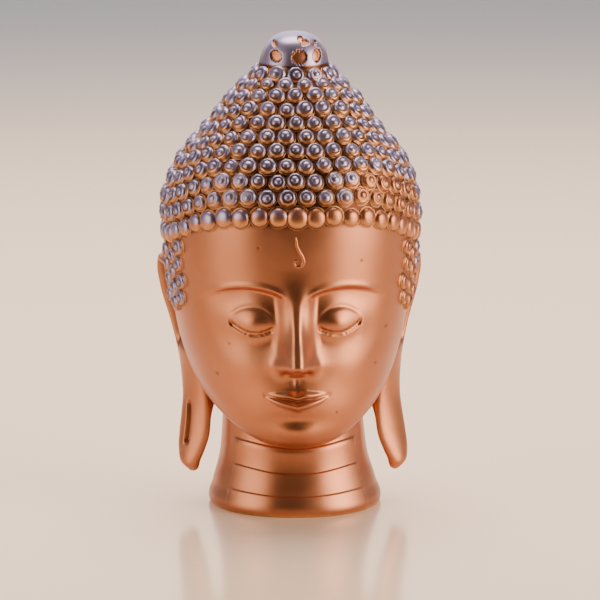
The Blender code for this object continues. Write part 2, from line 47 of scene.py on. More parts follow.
# Each row is one section: its level, counted from the hairline at 0 up to the crown and
# down to below the chin, then the front's y and height, the side's x and height, the
# back's y and height, and the y of the middle.
HEAD_SECTIONS = (
    (13.0, (1.5, 150.0), (0.0, 150.0), (1.5, 150.0), 1.5),
    (12.6, (-2.3, 149.6), (3.9, 149.6), (5.4, 149.6), 1.5),
    (12.2, (-5.2, 148.2), (6.9, 148.2), (8.3, 148.2), 1.5),
    (11.7, (-7.4, 145.6), (9.2, 145.6), (10.6, 145.6), 1.5),
    (11.2, (-8.6, 142.6), (10.4, 142.6), (11.7, 142.6), 1.5),
    (10.7, (-9.2, 140.4), (11.1, 139.6), (12.5, 139.4), 1.5),
    (10.0, (-10.1, 138.2), (12.2, 137.0), (13.9, 136.6), 1.6),
    (8.0, (-14.6, 132.6), (19.6, 128.9), (21.8, 128.4), 1.7),
    (6.0, (-20.6, 125.0), (27.2, 118.8), (30.3, 117.9), 1.8),
    (4.0, (-26.6, 117.4), (35.0, 109.0), (38.6, 107.4), 1.9),
    (2.0, (-32.9, 109.2), (39.0, 98.2), (42.9, 95.6), 2.0),
    (0.0, (-37.2, 98.4), (39.3, 86.3), (44.2, 83.0), 2.2),
    (-2.0, (-38.6, 81.0), (38.2, 74.0), (43.5, 70.4), 2.6),
    (-4.0, (-38.2, 62.5), (36.6, 61.5), (40.2, 58.5), 3.0),
    (-6.0, (-37.2, 44.0), (33.8, 49.0), (34.2, 47.6), 3.0),
    (-7.2, (-36.6, 32.5), (30.8, 41.0), (29.4, 42.0), 2.8),
    (-8.0, (-34.0, 25.6), (27.6, 36.0), (25.2, 38.4), 2.4),
    (-8.7, (-28.0, 22.8), (22.4, 32.4), (19.4, 34.8), 2.2),
    (-9.4, (-15.5, 24.6), (12.0, 30.0), (12.0, 30.8), 2.0),
    (-10.0, (2.0, 27.0), (0.0, 27.0), (2.0, 27.0), 2.0),
)
SECTION_LEVELS = np.array([row[0] for row in reversed(HEAD_SECTIONS)])
SECTION_VALUES = np.array([row[1] + row[2] + row[3] + (row[4],) for row in reversed(HEAD_SECTIONS)])

# The face is set out in thirds from hairline to chin, with the eye's width as its measure.
HAIRLINE = 99.0
CHIN = 24.0
FACE_THIRD = (HAIRLINE - CHIN) / 3.0
BROW = HAIRLINE - FACE_THIRD
NOSE_BASE = BROW - FACE_THIRD
MOUTH = NOSE_BASE - FACE_THIRD / 3.0
EYE_LINE = BROW - 0.36 * FACE_THIRD
EYE_WIDTH = 13.6
EYE_INNER = 0.52 * EYE_WIDTH
EYE_MIDDLE = EYE_INNER + 0.5 * EYE_WIDTH
MOUTH_HALF = 0.74 * EYE_WIDTH
SOCKET_DEPTH = 2.7
BALL_RISE = 3.5
UPPER_LIP_RISE = 1.5
LOWER_LIP_RISE = 1.9
# Height over the nose's base and how far the ridge of the nose stands out there.
NOSE_RIDGE = ((-1.2, 0.2), (0.2, 2.6), (2.6, 9.0), (5.0, 9.2), (12.0, 5.6), (19.0, 2.6), (24.0, 1.6),
              (29.0, 0.4), (33.0, 0.0), (37.0, 0.0))


def spline(keys, values, at):
    """Smooth curve through the values at the keys, which rise."""
    slopes = np.gradient(values, keys, axis=0)
    at = np.clip(np.asarray(at, dtype=float), keys[0], keys[-1])
    index = np.clip(np.searchsorted(keys, at) - 1, 0, len(keys) - 2)
    span = keys[index + 1] - keys[index]
    share = ((at - keys[index]) / span)[..., None]
    span = span[..., None]
    square, cube = share ** 2, share ** 3
    return ((2 * cube - 3 * square + 1) * values[index]
            + (cube - 2 * square + share) * span * slopes[index]
            + (3 * square - 2 * cube) * values[index + 1]
            + (cube - square) * span * slopes[index + 1])


def smooth_step(value, start, end):
    """Rises smoothly from 0 at start to 1 at end."""
    share = np.clip((value - start) / (end - start), 0.0, 1.0)
    return share ** 3 * (share * (6.0 * share - 15.0) + 10.0)


def hump(x, z, middle_x, middle_z, half_x, half_z):
    """Soft round rise of height 1."""
    return np.exp(-((x - middle_x) / half_x) ** 2 - ((z - middle_z) / half_z) ** 2)


def eye_slit(x):
    """Height of the edge of the upper lid at distance x from the middle."""
    share = np.clip((x - EYE_INNER) / EYE_WIDTH, 0.0, 1.0)
    return EYE_LINE - 1.2 + 1.4 * share - 2.5 * np.sin(math.pi * share) ** 0.9


def brow_line(x):
    """Height of the brow's edge at distance x from the middle."""
    return BROW + 2.2 - 0.021 * (x - 14.5) ** 2


def mouth_line(x):
    """Height of the line between the lips at distance x from the middle."""
    share = x / MOUTH_HALF
    return MOUTH + 1.1 * share ** 2 - 0.5 * np.exp(-(x / 1.6) ** 2)


def nose_relief(x, z):
    """Bridge, tip and wings of the nose, standing forward of the face."""
    rise_at = NOSE_BASE + np.array([row[0] for row in NOSE_RIDGE])
    height = spline(rise_at, np.array([row[1:] for row in NOSE_RIDGE]), z)[..., 0]
    height = np.where((z < rise_at[0]) | (z > rise_at[-1]), 0.0, np.maximum(height, 0.0))
    half = 2.5 + 1.7 * smooth_step(z, NOSE_BASE + 17.0, NOSE_BASE + 2.0)
    half = half + 1.4 * smooth_step(z, BROW - 5.0, BROW + 2.0)
    bridge = 0.96 * height / (1.0 + (x / half) ** 3)
    bridge = bridge + 0.25 * hump(x, z, 0.0, NOSE_BASE + 3.4, 3.6, 2.6)
    wing = 4.0 * hump(x, z, 4.6, NOSE_BASE + 2.9, 2.5, 2.9)
    nostril = 0.9 * hump(x, z, 2.9, NOSE_BASE + 0.4, 1.4, 0.9)
    return (bridge ** 3 + wing ** 3) ** (1.0 / 3.0) - nostril


def eye_relief(x, z):
    """Socket under the brow, the ball, and the lids almost closed over it."""
    socket = smooth_step(z, brow_line(x) + 0.5, brow_line(x) - 1.9)
    socket = socket * smooth_step(z, EYE_LINE - 19.0, EYE_LINE - 1.0)
    socket = socket * smooth_step(x, 2.5, 7.5) * smooth_step(x, 33.0, 15.0)
    away = ((x - EYE_MIDDLE) / 10.4) ** 2 + ((z - EYE_LINE + 0.6) / 7.2) ** 2
    ball = np.exp(-1.7 * away)
    inside = smooth_step(x, EYE_INNER - 0.8, EYE_INNER + 1.2)
    inside = inside * smooth_step(x, EYE_INNER + EYE_WIDTH + 0.8, EYE_INNER + EYE_WIDTH - 1.2)
    below = smooth_step(z, eye_slit(x) + 0.2, eye_slit(x) - 0.2)
    lower_lid = smooth_step(z, eye_slit(x) - 1.3, eye_slit(x) - 1.8)
    across = np.clip((x - EYE_MIDDLE) / (0.5 * EYE_WIDTH + 1.0), -1.0, 1.0)
    fold = EYE_LINE + 0.2 + 4.4 * (1.0 - across ** 2)
    crease = 0.4 * np.exp(-((z - fold) / 0.7) ** 2) * smooth_step(np.abs(across), 1.0, 0.5)
    brow_edge = 0.4 * np.exp(-((z - brow_line(x) - 0.5) / 0.9) ** 2)
    brow_edge = brow_edge * smooth_step(x, 3.0, 7.0) * smooth_step(x, 29.0, 22.0)
    lids = inside * (0.85 * lower_lid - 1.25 * below)
    lids = lids * smooth_step(z, eye_slit(x) - 9.0, eye_slit(x) - 2.0)
    return BALL_RISE * ball - SOCKET_DEPTH * socket + lids - crease + brow_edge


def mouth_relief(x, z):
    """The lips on their mound, the groove above them and the hollow under them."""
    mound = 1.9 * hump(x, z, 0.0, MOUTH + 0.3, 13.0, 8.0)
    reach = np.clip(1.0 - (x / MOUTH_HALF) ** 2, 0.0, 1.0)
    line = mouth_line(x)
    upper_height = 3.4 * reach ** 0.8 + 0.5 * np.exp(-((x - 2.5) / 1.5) ** 2) + 0.01
    upper_share = np.clip((z - line) / upper_height, 0.0, 1.0)
    upper = np.where(z >= line, np.sin(math.pi * np.minimum(upper_share + 0.12, 1.0)), 0.0)
    lower_height = 4.1 * reach ** 0.7 + 0.01
    lower_share = np.clip((line - z) / lower_height, 0.0, 1.0)
    lower = np.where(z < line, np.sin(math.pi * np.minimum(lower_share ** 0.9 + 0.1, 1.0)), 0.0)
    lips = (UPPER_LIP_RISE * upper ** 1.3 + LOWER_LIP_RISE * lower ** 1.3) * reach ** 0.7
    groove = -0.8 * np.exp(-((z - line) / 0.6) ** 2)
    groove = groove * smooth_step(x, MOUTH_HALF + 1.6, MOUTH_HALF - 2.5)
    philtrum = -0.6 * hump(x, z, 0.0, NOSE_BASE - 2.6, 1.2, 2.2)
    hollow = -0.9 * hump(x, z, 0.0, MOUTH - 6.8, 7.5, 2.4)
    return mound + lips + groove + philtrum + hollow


def face_relief(x, z):
    """How far the carved face stands forward of the plain head at (x, z)."""
    x = np.abs(x)
    chin_ball = 1.9 * hump(x, z, 0.0, CHIN + 5.0, 7.5, 4.6)
    cheek = 1.5 * hump(x, z, 19.0, NOSE_BASE + 5.0, 10.0, 10.0)
    return nose_relief(x, z) + eye_relief(x, z) + mouth_relief(x, z) + chin_ball + cheek


def sway(z):
    """Sideways shift of the cast at a height."""
    return -SWAY * np.sin(math.pi * np.clip(z, 0.0, FIGURE_HEIGHT) / FIGURE_HEIGHT)


def head_surface(level, angle):
    """Points of the head in millimetres; the angle is 0 in front and grows towards +X."""
    level, angle = np.broadcast_arrays(np.asarray(level, float), np.asarray(angle, float))
    values = spline(SECTION_LEVELS, SECTION_VALUES, level)
    front_y, front_z, side_x, side_z, back_y, back_z, middle = np.moveaxis(values, -1, 0)
    across, along = np.sin(angle), np.cos(angle)
    fall = 2.4 + 1.6 * smooth_step(level, -4.0, -1.0)
    front_share = np.abs(across) ** fall
    x = side_x * across
    z = np.where(along > 0, front_z + (side_z - front_z) * front_share,
                 back_z + (side_z - back_z) * across ** 2)
    y = np.where(along > 0, middle - (middle - front_y) * along,
                 middle - (back_y - middle) * along)
    ahead = smooth_step(along, 0.25, 0.6) * smooth_step(level, -8.6, -8.0)
    y = y - face_relief(x, z) * ahead
    return np.stack((x + sway(z), y, z), axis=-1)


# Casting flaws on the dome: x, height, half width and half height of each pit.
CROWN_PITS = ((-6.1, 143.9, 1.8, 1.8), (1.1, 143.8, 2.5, 2.2), (6.9, 143.9, 1.4, 2.1),
              (2.9, 147.9, 1.5, 0.8), (1.5, 148.9, 0.9, 0.7), (6.0, 147.3, 0.8, 0.8),
              (-6.4, 147.2, 0.8, 0.8))
CROWN_MIDDLE = (0.0, 1.5, 141.0)
PIT_DEPTH = 0.6
# Air bubbles open at the skin: x, height and radius.
PINHOLES = ((-25.5, 46.5, 0.45), (-22.0, 57.0, 0.35), (24.0, 49.5, 0.4), (27.5, 60.5, 0.45),
            (11.5, 35.5, 0.35), (-13.0, 89.0, 0.35), (19.5, 83.5, 0.4))
PINHOLE_DEPTH = 0.3
# How much painted shade darkens the skin under the hair, round a pit and in a pinhole.
HAIR_SHADE = 0.92
RIM_SHADE = 0.95
PINHOLE_SHADE = 0.8


def crown_pits(points):
    """How deep points of the dome lie in its ragged pits, from 0 to 1."""
    ragged = 0.10 * np.sin(7.0 * points[:, 0] + 2.0) * np.sin(6.0 * points[:, 2])
    ragged = ragged + 0.06 * np.sin(13.0 * points[:, 0]) * np.sin(15.0 * points[:, 2] + 1.0)
    depth = np.zeros(len(points))
    for x, height, half_x, half_z in CROWN_PITS:
        away = np.hypot((points[:, 0] - sway(height) - x) / half_x, (points[:, 2] - height) / half_z)
        depth = np.maximum(depth, smooth_step(away + ragged, 1.1, 0.8))
    return depth * (points[:, 1] < CROWN_MIDDLE[1]) * (points[:, 2] > CROWN_MIDDLE[2])


def open_bubbles(points):
    """How deep points of the face lie in its pinholes, from 0 to 1."""
    depth = np.zeros(len(points))
    for x, height, radius in PINHOLES:
        away = np.hypot(points[:, 0] - x, points[:, 2] - height) / radius
        depth = np.maximum(depth, np.exp(-away ** 2))
    return depth * (points[:, 1] < 0.0)


# Rings and columns of the ball stand closest over the crown, the eyes and the mouth:
# number of a ring and its level, number of a column and its degrees from the front.
RING_STOPS = ((0, 13.0), (44, 10.6), (74, 0.4), (110, -1.9), (166, -4.6), (216, -7.0), (246, -8.7),
              (258, -10.0))
COLUMN_STOPS = ((0, 0.0), (72, 38.0), (106, 70.0), (138, 180.0))


def stored_points(thing):
    """Every point of a mesh, as it is stored."""
    places = np.empty(len(thing.data.vertices) * 3)
    thing.data.vertices.foreach_get("co", places)
    return places.reshape(-1, 3)


def ball_numbers(thing, ring_count, segments):
    """Ring and column number of every vertex of a fresh ball; column 0 faces -Y."""
    places = stored_points(thing)
    places = places / np.linalg.norm(places, axis=1, keepdims=True)
    ring = np.arccos(np.clip(places[:, 2], -1.0, 1.0)) / math.pi * ring_count
    turn = np.arctan2(places[:, 0], -places[:, 1])
    return np.round(ring), turn / math.pi * segments / 2.0


def set_points(thing, points):
    """Move every vertex to its point, given in millimetres."""
    thing.data.vertices.foreach_set("co", (points * MM).ravel())
    thing.data.update()


def set_layer(thing, name, values):
    """Store one number for every point of a mesh."""
    layer = thing.data.attributes.get(name) or thing.data.attributes.new(name, "FLOAT", "POINT")
    layer.data.foreach_set("value", np.asarray(values, dtype=np.float32))


def new_ball(name, segments, ring_count):
    """A fresh ball, alone in the selection."""
    bpy.ops.object.select_all(action="DESELECT")
    bpy.ops.mesh.primitive_uv_sphere_add(segments=segments, ring_count=ring_count, radius=1.0)
    thing = bpy.context.object
    thing.name = name
    return thing


ring_count = RING_STOPS[-1][0]
segments = 2 * COLUMN_STOPS[-1][0]
casting = new_ball("cast_head", segments, ring_count)
ring, column = ball_numbers(casting, ring_count, segments)
level = np.interp(ring, *zip(*RING_STOPS))
angle = np.sign(column) * np.radians(np.interp(np.abs(column), *zip(*COLUMN_STOPS)))
skin = head_surface(level, angle)
inward = np.array(CROWN_MIDDLE) - skin
inward = inward / np.linalg.norm(inward, axis=1, keepdims=True)
pit = crown_pits(skin)
bubble = open_bubbles(skin)
sunk = pit * PIT_DEPTH + bubble * PINHOLE_DEPTH
set_points(casting, skin + inward * sunk[:, None])
hair = smooth_step(level, -0.5, -0.2)
behind = smooth_step(np.abs(angle), math.radians(100.0), math.radians(106.0))
behind = behind * smooth_step(level, -7.4, -7.2)
crown = smooth_step(level, 10.75, 11.0)
# Painted shade: dark brown on the skull under and between the curls, on the walls of the dome's pits
# and in the pinholes.
rim_shade = np.clip(5.0 * pit * (1.0 - pit), 0.0, RIM_SHADE) + PINHOLE_SHADE * bubble
shade_under_hair = HAIR_SHADE * np.maximum(hair, behind) * (1.0 - crown)
set_layer(casting, "painted_shade", np.maximum(shade_under_hair, rim_shade))
set_layer(casting, "silver_and_highlight", crown * (1.0 - smooth_step(pit, 0.0, 0.3)))


# The neck is the stand: a short flared post with three folds of skin on its front.
# It is cast in one with the head and flat underneath, where it rests.
# A disc is drawn upwards ring by ring, then the folds are pressed into its front.
NECK_TOP = 37.0
# Heights and radii of the outline, which ends inside the head.
NECK_OUTLINE = ((0.0, 26.5), (0.8, 26.9), (6.6, 25.7), (14.4, 23.5), (24.5, 22.3), (NECK_TOP, 21.6))
FOLD_CREASES = (7.25, 14.9)
FOLD_TOP = FOLD_CREASES[1] + 8.0
FOLD_STEP = 0.75
FOLD_ANGLE = 55.0
FOLD_DIP = 1.4
NECK_SIDES = 240
# Rows of the mesh: over the foot, above and below each crease, and over the folds.
FOOT_ROWS = (0.0, 0.25, 0.8)
FOLD_ROWS = (0.0, 0.3, 0.7, 1.3) + tuple(2.1 + 0.8 * row for row in range(6))
CREASE_DROPS = (0.5, 0.35, 0.2, 0.08)
UPPER_ROWS = (22.5, 22.8, 22.98, 23.5, 24.5, 26.0, 28.0, 30.0, 32.0, 34.5, NECK_TOP)
WORN_HEIGHT = 1.8


def neck_points(z, angle):
    """Points of the neck: folds dip in the middle, each standing prouder than the one above it."""
    heights = np.array([row[0] for row in NECK_OUTLINE])
    radii = np.array([[row[1]] for row in NECK_OUTLINE])
    degrees = np.abs(np.degrees(angle))
    edges = (0.0,) + FOLD_CREASES + (FOLD_TOP,)
    proud = np.zeros_like(z)
    for low, high in zip(edges, edges[1:]):
        share = np.clip((z - low) / (high - low), 0.0, 1.0)
        lip = 1.0 - smooth_step(high - z, 0.35, 0.0) * 0.45
        proud = proud + np.where((z >= low) & (z < high), FOLD_STEP * (0.25 + 0.75 * share) * lip, 0.0)
    proud = proud * smooth_step(degrees, FOLD_ANGLE + 3.0, FOLD_ANGLE - 3.0)
    dip = FOLD_DIP * smooth_step(degrees, FOLD_ANGLE, 0.0)
    dip = dip * smooth_step(z, 0.0, FOLD_CREASES[1]) * smooth_step(z, FOLD_TOP + 8.0, FOLD_TOP)
    radius = spline(heights, radii, z - dip)[..., 0] + proud
    return np.stack((radius * np.sin(angle) + sway(z - dip), -radius * np.cos(angle), z - dip), axis=-1)


neck_rows = FOOT_ROWS + UPPER_ROWS + tuple(FOOT_ROWS[-1] + row for row in FOLD_ROWS)
for crease in FOLD_CREASES:
    neck_rows += tuple(crease + row for row in FOLD_ROWS)
    neck_rows += tuple(crease - drop for drop in CREASE_DROPS)
neck_rows = sorted(set(round(row, 2) for row in neck_rows))
bpy.ops.object.select_all(action="DESELECT")
bpy.ops.mesh.primitive_circle_add(vertices=NECK_SIDES, radius=1.0, fill_type="NGON")
neck = bpy.context.object
neck.name = "cast_neck"
bpy.ops.object.mode_set(mode="EDIT")
bpy.ops.mesh.select_all(action="SELECT")
for low, high in zip(neck_rows, neck_rows[1:]):
    bpy.ops.mesh.extrude_region_move(TRANSFORM_OT_translate={"value": (0.0, 0.0, high - low)})
bpy.ops.mesh.select_all(action="SELECT")
bpy.ops.mesh.normals_make_consistent(inside=False)
bpy.ops.object.mode_set(mode="OBJECT")
places = stored_points(neck)
set_points(neck, neck_points(places[:, 2], np.arctan2(places[:, 0], -places[:, 1])))
set_layer(neck, "worn", smooth_step(stored_points(neck)[:, 2] / MM, WORN_HEIGHT, 0.1))


def fuse(thing, other):
    """Join another closed form into the casting, and remove it."""
    union = thing.modifiers.new("fuse", "BOOLEAN")
    union.operation = "UNION"
    union.solver = "MANIFOLD"
    union.object = other
    bpy.ops.object.select_all(action="DESELECT")
    bpy.context.view_layer.objects.active = thing
    bpy.ops.object.modifier_apply(modifier=union.name)
    bpy.data.objects.remove(other, do_unlink=True)


fuse(casting, neck)


# The ears: long blades that hang free of the neck below the jaw, each with a rolled
# rim and a deep hollow. Only the right one has a slot in its lobe. They are cast in one
# with the head: their roots reach into it.
EAR_TOP = 79.2
EAR_TIP = 9.3
# Each station gives a height, the x of the outer edge, the y of the middle, the half
# width of the blade and its turn in degrees.
EAR_STATIONS = (
    (79.0, 40.4, 6.4, 3.0, 11.0),
    (77.2, 41.25, 6.6, 5.4, 11.0),
    (74.0, 41.65, 6.8, 7.2, 11.0),
    (67.0, 40.7, 6.4, 8.0, 12.0),
    (55.0, 37.3, 5.2, 7.2, 15.0),
    (46.0, 35.3, 3.8, 6.6, 20.0),
    (39.0, 34.5, 2.8, 6.3, 28.0),
    (33.0, 34.3, 2.0, 6.2, 36.0),
    (27.0, 34.9, 1.4, 6.3, 42.0),
    (21.0, 35.7, 1.0, 6.2, 44.0),
    (16.0, 36.1, 0.8, 5.2, 44.0),
    (12.0, 35.5, 0.6, 3.6, 44.0),
    (10.0, 34.2, 0.6, 2.6, 44.0),
)
EAR_HEIGHTS = np.array([row[0] for row in reversed(EAR_STATIONS)])
EAR_VALUES = np.array([row[1:] for row in reversed(EAR_STATIONS)])
EAR_ROUNDING = 3.0
EAR_HALF_THICKNESS = 2.0
EAR_ROOT_DEPTH = 4.6
EAR_ROOT_END = 27.0
CONCHA_DEPTH = 2.4
CONCHA_SPAN = (46.0, 54.0, 73.0, 77.0)
CONCHA_SHADE = 0.8
LOBE_SLOT_DEPTH = 1.5
SLOT_SHADE = 0.45
LOBE_SLOT_SPAN = (17.5, 19.5, 30.5, 32.5)
EAR_RINGS = 150
EAR_COLUMNS = 96


def hollow(z, span):
    """Rises from 0 to 1 over the first two heights and falls back over the last two."""
    return smooth_step(z, span[0], span[1]) * smooth_step(z, span[3], span[2])


def ear_points(z, turn, slot_depth):
    """Points of the ear on the +X side; the turn is 0 at its back edge and 90 degrees outside."""
    outer, middle, half, degrees = np.moveaxis(spline(EAR_HEIGHTS, EAR_VALUES, z), -1, 0)
    blade = np.radians(degrees)
    from_end = np.clip(np.minimum(z - EAR_TIP, EAR_TOP - z) / EAR_ROUNDING, 0.0, 1.0)
    end = np.sqrt(from_end * (2.0 - from_end))
    centre_x = outer - np.hypot(half * np.sin(blade), EAR_HALF_THICKNESS * np.cos(blade))
    thick = EAR_HALF_THICKNESS * end
    half = half * end
    across, out = np.cos(turn), np.sin(turn)
    root = EAR_ROOT_DEPTH * smooth_step(z, EAR_ROOT_END - 3.0, EAR_ROOT_END + 8.0) * end
    cup = hollow(z, CONCHA_SPAN) * CONCHA_DEPTH * smooth_step(np.abs(across), 0.74, 0.35)
    slot = hollow(z, LOBE_SLOT_SPAN) * slot_depth * smooth_step(np.abs(across - 0.2), 0.22, 0.05)
    depth = thick * out + np.where(out < 0.0, root * out, -cup - slot)
    x = centre_x + half * across * np.sin(blade) + depth * np.cos(blade)
    y = middle + half * across * np.cos(blade) - depth * np.sin(blade)
    return x, y


ears = []
for side, side_name, slot_depth in ((1, "left", 0.0), (-1, "right", LOBE_SLOT_DEPTH)):
    ear = new_ball("cast_ear_" + side_name, EAR_COLUMNS, EAR_RINGS)
    ring, column = ball_numbers(ear, EAR_RINGS, EAR_COLUMNS)
    z = EAR_TIP + (EAR_TOP - EAR_TIP) * (1.0 + np.cos(ring / EAR_RINGS * math.pi)) / 2.0
    turn = math.pi / 2.0 - side * column / EAR_COLUMNS * 2.0 * math.pi
    x, y = ear_points(z, turn, slot_depth)
    set_points(ear, np.stack((side * x + sway(z), y, z), axis=-1))
    cup = hollow(z, CONCHA_SPAN) * smooth_step(np.abs(np.cos(turn)), 0.74, 0.35)
    slot = hollow(z, LOBE_SLOT_SPAN) * smooth_step(np.abs(np.cos(turn) - 0.2), 0.2, 0.05)
    slot = slot * (slot_depth > 0.0)
    # Painted shade: dark brown on the outer face, in the ear's hollow and in the lobe's slot.
    set_layer(ear, "painted_shade", np.maximum(CONCHA_SHADE * cup, SLOT_SHADE * slot) * (np.sin(turn) > 0.0))
    ears.append(ear)


# The paint over the whole casting: satin copper with broad soft highlights, painted shade
# in the hollows, the grooves and under the curls, pale silver rubbed on dry over curls and crown (on
# the curls partly painted highlight), and gold where it is rubbed.
# Each mesh keeps as attributes of its points how much painted shade, silver with painted highlight, and
# worn it has.
COPPER = "#B4704C"
COPPER_BRIGHT = "#C3815C"
# Dark brown of the painted shade in the hollows, the grooves and under the curls.
PAINTED_SHADE_BROWN = "#3A1A0D"
# Pale lilac silver, rubbed on dry; on the curls it is partly painted highlight of the soft boxes.
SILVER_AND_HIGHLIGHT_LILAC = "#A395AC"
WORN_GOLD = "#D2A066"
# Real flakes are about 0.05 mm; they are drawn ten times as coarse, so that they show.
FLAKE_MM = 0.5
BRUSH_MM = 1.1
CLOUD_MM = 14.0


def linear(colour):
    """An sRGB hex colour as linear red, green, blue and alpha."""
    parts = [int(colour[start:start + 2], 16) / 255.0 for start in (1, 3, 5)]
    light = [part / 12.92 if part <= 0.04045 else ((part + 0.055) / 1.055) ** 2.4 for part in parts]
    return light + [1.0]


def add_node(owner, kind, settings=None, inputs=None):
    """A new node in a material or world, with its settings, and each input linked or set."""
    tree = owner.node_tree
    node = tree.nodes.new(kind)
    for name, value in (settings or {}).items():
        setattr(node, name, value)
    for name, value in (inputs or {}).items():
        if isinstance(value, bpy.types.NodeSocket):
            tree.links.new(value, node.inputs[name])
        else:
            node.inputs[name].default_value = value
    return node


def new_material(name):
    """A material with its own empty Principled shader."""
    material = bpy.data.materials.new(name)
    material.use_nodes = True
    return material, material.node_tree.nodes["Principled BSDF"]


paint, shader = new_material("sprayed_satin_copper_paint")
coordinates = add_node(paint, "ShaderNodeTexCoord").outputs["Object"]
painted_shade = add_node(paint, "ShaderNodeAttribute", {"attribute_name": "painted_shade"}).outputs["Fac"]
silver_and_highlight = add_node(paint, "ShaderNodeAttribute", {"attribute_name": "silver_and_highlight"}).outputs["Fac"]
cloud = add_node(paint, "ShaderNodeTexNoise", None,
                 {"Vector": coordinates, "Scale": 1.0 / (CLOUD_MM * MM), "Detail": 3.0}).outputs["Fac"]
brush = add_node(paint, "ShaderNodeTexNoise", None,
                 {"Vector": coordinates, "Scale": 1.0 / (BRUSH_MM * MM), "Detail": 4.0}).outputs["Fac"]
copper = add_node(paint, "ShaderNodeMix", {"data_type": "RGBA"},
                  {0: cloud, 6: linear(COPPER), 7: linear(COPPER_BRIGHT)})
broken = add_node(paint, "ShaderNodeMath", {"operation": "MULTIPLY_ADD"}, {0: brush, 1: -0.9, 2: 0.45})
# The silver is broken up by the brush noise; on the curls part of it is painted highlight.
silver_and_highlight_reach = add_node(paint, "ShaderNodeMath", {"operation": "ADD", "use_clamp": True},
                        {0: silver_and_highlight, 1: broken.outputs[0]})
silver_and_highlight_edge = add_node(paint, "ShaderNodeMapRange", {"interpolation_type": "SMOOTHSTEP"},
                       {"Value": silver_and_highlight_reach.outputs[0], "From Min": 0.35, "From Max": 0.65})
coat = add_node(paint, "ShaderNodeMix", {"data_type": "RGBA"},
                {0: silver_and_highlight_edge.outputs["Result"], 6: copper.outputs[2], 7: linear(SILVER_AND_HIGHLIGHT_LILAC)})
worn = add_node(paint, "ShaderNodeAttribute", {"attribute_name": "worn"}).outputs["Fac"]
worn_reach = add_node(paint, "ShaderNodeMath", {"operation": "MULTIPLY_ADD"},
                      {0: brush, 1: 1.6, 2: -0.8})
worn_patch = add_node(paint, "ShaderNodeMath", {"operation": "ADD", "use_clamp": True},
                      {0: worn_reach.outputs[0], 1: worn})
worn_coat = add_node(paint, "ShaderNodeMath", {"operation": "MULTIPLY"},
                     {0: worn_patch.outputs[0], 1: worn})
rubbed = add_node(paint, "ShaderNodeMix", {"data_type": "RGBA"},
                  {0: worn_coat.outputs[0], 6: coat.outputs[2], 7: linear(WORN_GOLD)})
# Painted shade: the dark brown laid over the paint in the hollows, the grooves and under the curls.
painted_shade_mix = add_node(paint, "ShaderNodeMix", {"data_type": "RGBA"},
                  {0: painted_shade, 6: rubbed.outputs[2], 7: linear(PAINTED_SHADE_BROWN)})
gloss = add_node(paint, "ShaderNodeMapRange", None,
                 {"Value": cloud, "From Min": 0.3, "From Max": 0.7, "To Min": 0.31, "To Max": 0.38})
grain = add_node(paint, "ShaderNodeTexNoise", None,
                 {"Vector": coordinates, "Scale": 1.0 / (FLAKE_MM * MM), "Detail": 2.0})
peel = add_node(paint, "ShaderNodeBump", None,
                {"Strength": 0.22, "Distance": 0.05 * MM, "Height": grain.outputs["Fac"]})
paint.node_tree.links.new(painted_shade_mix.outputs[2], shader.inputs["Base Color"])
paint.node_tree.links.new(gloss.outputs["Result"], shader.inputs["Roughness"])
paint.node_tree.links.new(peel.outputs["Normal"], shader.inputs["Normal"])
shader.inputs["Metallic"].default_value = 0.92


def finish_piece(thing):
    """Smooth shading, the paint, and the casting's own body."""
    thing.data.materials.clear()
    thing.data.materials.append(paint)
    thing.data.polygons.foreach_set("use_smooth", [True] * len(thing.data.polygons))
    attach(thing, "root")


finish_piece(casting)
for ear in ears:
    set_layer(ear, "silver_and_highlight", np.zeros(len(ear.data.vertices)))
    finish_piece(ear)
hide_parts("buddha_head")


# The hair: rows of snail-shell curls above one row of smooth buttons along the hairline.
# They are cast with the head, and each row is set half a curl off the one below it.
# One of each kind is drawn up from a disc and copied to its places, a little uneven.
RING_COUNT = 11
NAPE_ROWS = 7
CURL_PITCH = 5.95
NAPE_START_ANGLE = 108.0
NAPE_CORNER_ANGLE = 118.0
TEMPLE_LEVELS = (-0.85, -1.6, -2.35, -3.1)
TEMPLE_ANGLES = (65.5, 74.0, 82.5)
TEMPLE_CURL_SHARE = 0.94
# Outline of a curl from its foot to the rim of its cap: radius, height, and the shift of
# that ring to one side, which winds the groove of a snail shell into its top.
SHELL_OUTLINE = ((3.5, -0.9, 0.0), (3.2, 0.55, 0.0), (2.85, 0.05, 0.0), (2.62, 1.2, 0.0),
                 (2.05, 1.8, 0.1), (1.6, 1.5, 0.25), (1.0, 2.05, 0.35))
SHELL_TOP = 2.3
SHELL_SIDES = 9
BUTTON_OUTLINE = ((3.75, -0.8, 0.0), (3.5, 0.55, 0.0), (3.12, 0.05, 0.0), (2.92, 0.95, 0.0),
                  (2.45, 1.45, 0.0), (1.4, 1.8, 0.0))
BUTTON_TOP = 1.9
BUTTON_SIDES = 12
MIDDLE_CURL_SHARE = 1.14
# Least and greatest of a curl's size, how far it slips along and into the head, and how
# much the silver on it varies.
CURL_SIZES = (0.89, 1.06)
CURL_SLIP = 0.33
CURL_SINK = 0.35
SILVER_SHARES = (0.68, 1.12)
# How dark the painted shade lies in a curl's grooves.
GROOVE_SHADE = 0.75
COLLAR_TOP = 0.5
CURL_GOLD = 0.6


def head_normal(level, angle):
    """Outward direction of the head's surface."""
    step = 0.02
    upwards = head_surface(level + step, angle) - head_surface(level - step, angle)
    around = head_surface(level, angle + step) - head_surface(level, angle - step)
    normal = np.cross(around, upwards)
    return normal / np.linalg.norm(normal, axis=-1, keepdims=True)


